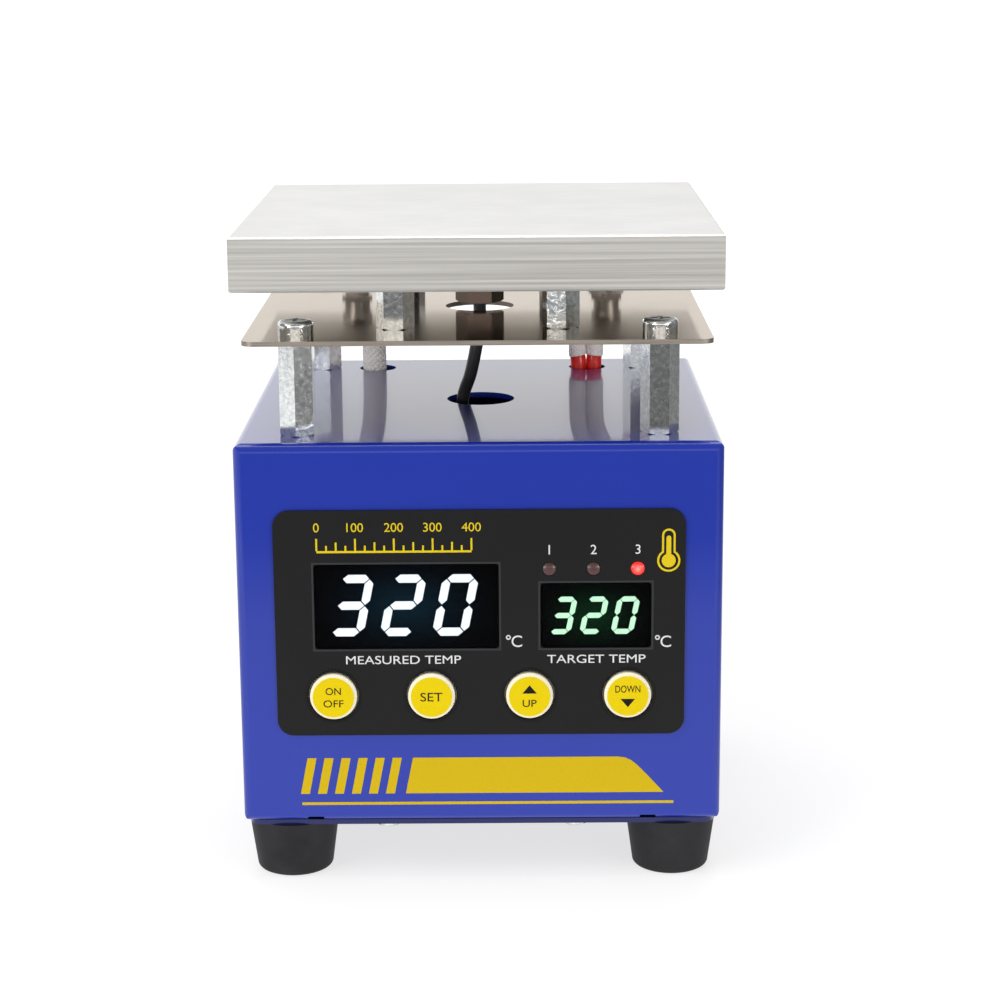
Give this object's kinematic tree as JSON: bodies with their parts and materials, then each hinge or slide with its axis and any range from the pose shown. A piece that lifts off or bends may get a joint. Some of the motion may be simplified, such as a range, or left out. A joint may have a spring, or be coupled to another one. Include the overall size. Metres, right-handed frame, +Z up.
{
  "type": "pcb preheater",
  "caption": "Bench hot plate: thick square heating plate on hex risers over a polished shield and a folded case with displays and press keys.",
  "frame": {"origin": "on the bench, at the middle of the four feet", "axes": "+Z up, +X to the right of a user who faces the control panel, front towards -Y"},
  "size_m": [0.101, 0.1026, 0.1377],
  "materials": {
    "case_paint": "glossy powder coat",
    "foot_rubber": "matt",
    "panel_black": "fine satin film",
    "window_smoke": "tinted, glossy",
    "display_black": "matt",
    "lamp_red": "diffused",
    "key_yellow": "satin",
    "part_black": "moulded",
    "board_green": "solder mask",
    "header_white": "moulded",
    "terminal_green": "moulded",
    "zinc": "bright zinc",
    "core_steel": "laminated",
    "coil_copper": "enamelled wire",
    "sink_aluminium": "extruded",
    "fuse_glass": "clear",
    "brass": "bright",
    "inlet_black": "moulded",
    "shield_steel": "polished",
    "plate_aluminium": "milled and sanded",
    "element_steel": "sheathed",
    "cable_black": "satin",
    "lead_red": "silicone",
    "sleeve_fibre": "braided glass fibre",
    "wire_brown": "satin",
    "wire_blue": "satin",
    "wire_green": "satin",
    "ribbon_grey": "satin"
  },
  "bodies": {
    "case": {"case_shell": "case_paint", "base_plate": "case_paint", "base_screws": "zinc", "foot_front_left": "foot_rubber", "foot_front_right": "foot_rubber", "foot_rear_left": "foot_rubber", "foot_rear_right": "foot_rubber", "foot_screws": "zinc", "foot_nuts": "zinc", "panel_overlay": "panel_black", "main_window": "window_smoke", "preset_window": "window_smoke", "main_display": "display_black", "preset_display": "display_black", "channel_lamp_1": "lamp_red", "channel_lamp_2": "lamp_red", "channel_lamp_3": "lamp_red", "key_switches": "part_black", "control_board": "board_green", "control_posts": "zinc", "control_screws": "zinc", "control_chip": "part_black", "plug_headers": "header_white", "power_board": "board_green", "power_pillars": "zinc", "power_screws": "zinc", "transformer_core": "core_steel", "transformer_coil": "coil_copper", "heater_triac": "part_black", "triac_heatsink": "sink_aluminium", "supply_capacitor": "part_black", "glass_fuse": "fuse_glass", "fuse_clips": "brass", "terminal_blocks": "terminal_green", "mains_inlet": "inlet_black", "inlet_pins": "brass", "inlet_screws": "zinc", "shield_pillars": "zinc", "pillar_screws": "zinc", "heat_shield": "shield_steel", "shield_screws": "zinc", "plate_risers": "zinc", "riser_screws": "zinc", "heater_plate": "plate_aluminium", "heating_element": "element_steel", "sensor_body": "element_steel", "sensor_cable": "cable_black", "heater_lead_left": "lead_red", "heater_lead_right": "lead_red", "lead_sleeve_left": "sleeve_fibre", "lead_sleeve_right": "sleeve_fibre", "live_wire": "wire_brown", "neutral_wire": "wire_blue", "earth_wire": "wire_green", "control_harness": "ribbon_grey"},
    "power_key": {"key_power": "key_yellow"},
    "set_key": {"key_set": "key_yellow"},
    "up_key": {"key_up": "key_yellow"},
    "down_key": {"key_down": "key_yellow"}
  },
  "joints": [
    {"name": "power_key_press", "type": "slide", "parent": "case", "child": "power_key", "axis": [0, 1, 0], "range_m": [0, 0.0005], "stiffness_N_per_m": 1500},
    {"name": "set_key_press", "type": "slide", "parent": "case", "child": "set_key", "axis": [0, 1, 0], "range_m": [0, 0.0005], "stiffness_N_per_m": 1500},
    {"name": "up_key_press", "type": "slide", "parent": "case", "child": "up_key", "axis": [0, 1, 0], "range_m": [0, 0.0005], "stiffness_N_per_m": 1500},
    {"name": "down_key_press", "type": "slide", "parent": "case", "child": "down_key", "axis": [0, 1, 0], "range_m": [0, 0.0005], "stiffness_N_per_m": 1500}
  ]
}
